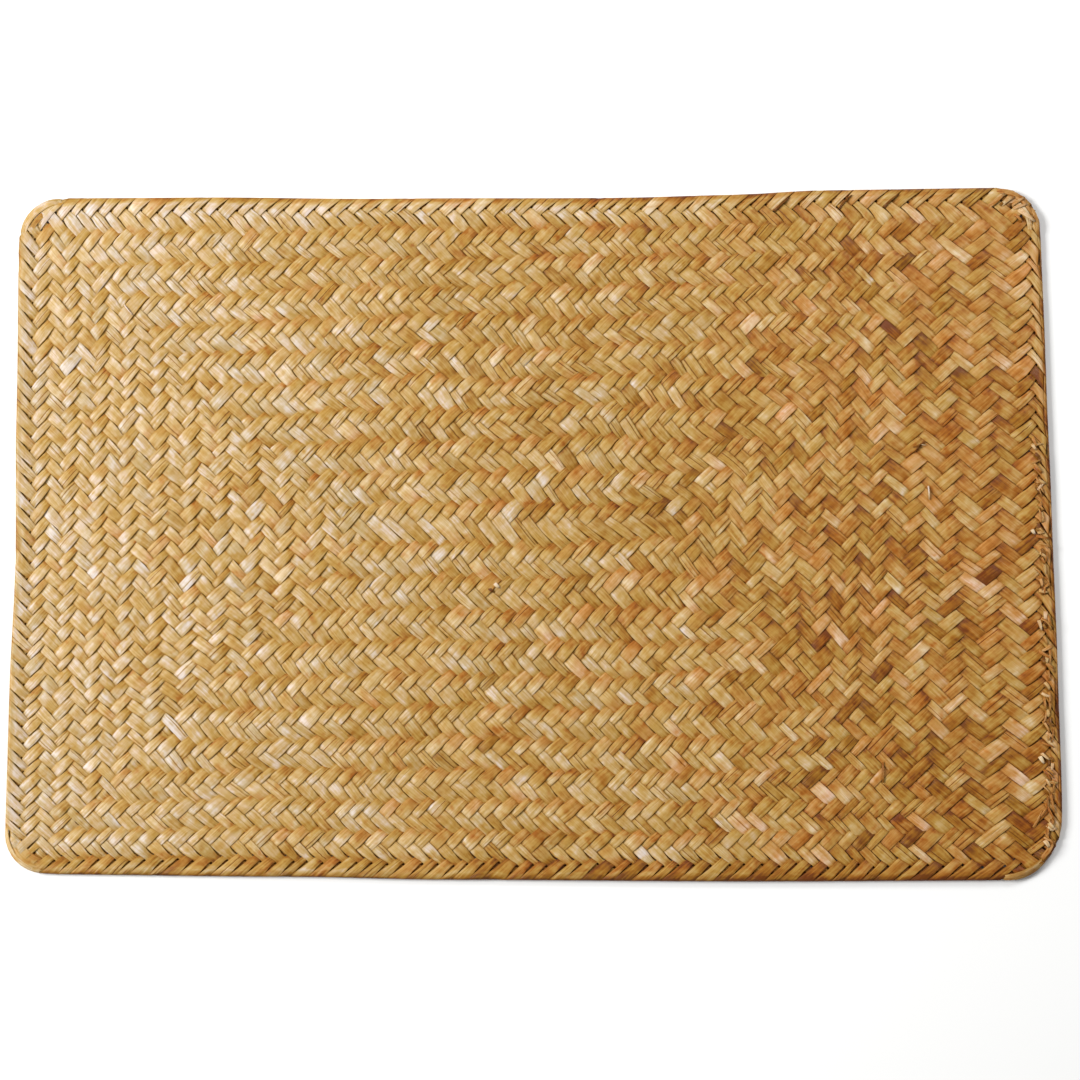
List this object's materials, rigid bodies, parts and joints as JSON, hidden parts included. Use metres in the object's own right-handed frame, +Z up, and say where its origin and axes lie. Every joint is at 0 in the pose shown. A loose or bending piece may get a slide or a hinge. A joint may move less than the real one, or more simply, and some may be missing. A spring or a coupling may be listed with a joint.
{
  "type": "woven straw placemat",
  "caption": "Flat rectangular table mat plaited on the bias from straw strips in a concentric twill, with folded rims and rounded corners.",
  "frame": {"origin": "on the table surface, under the middle of the mat's bounding box", "axes": "+X along the long side, +Y along the short side away from the diner, +Z up"},
  "size_m": [0.4528, 0.3004, 0.003],
  "materials": {
    "straw": "dry satin plant fibre, strips from pale straw to orange brown"
  },
  "bodies": {
    "root": {"mat": "straw"}
  },
  "joints": []
}
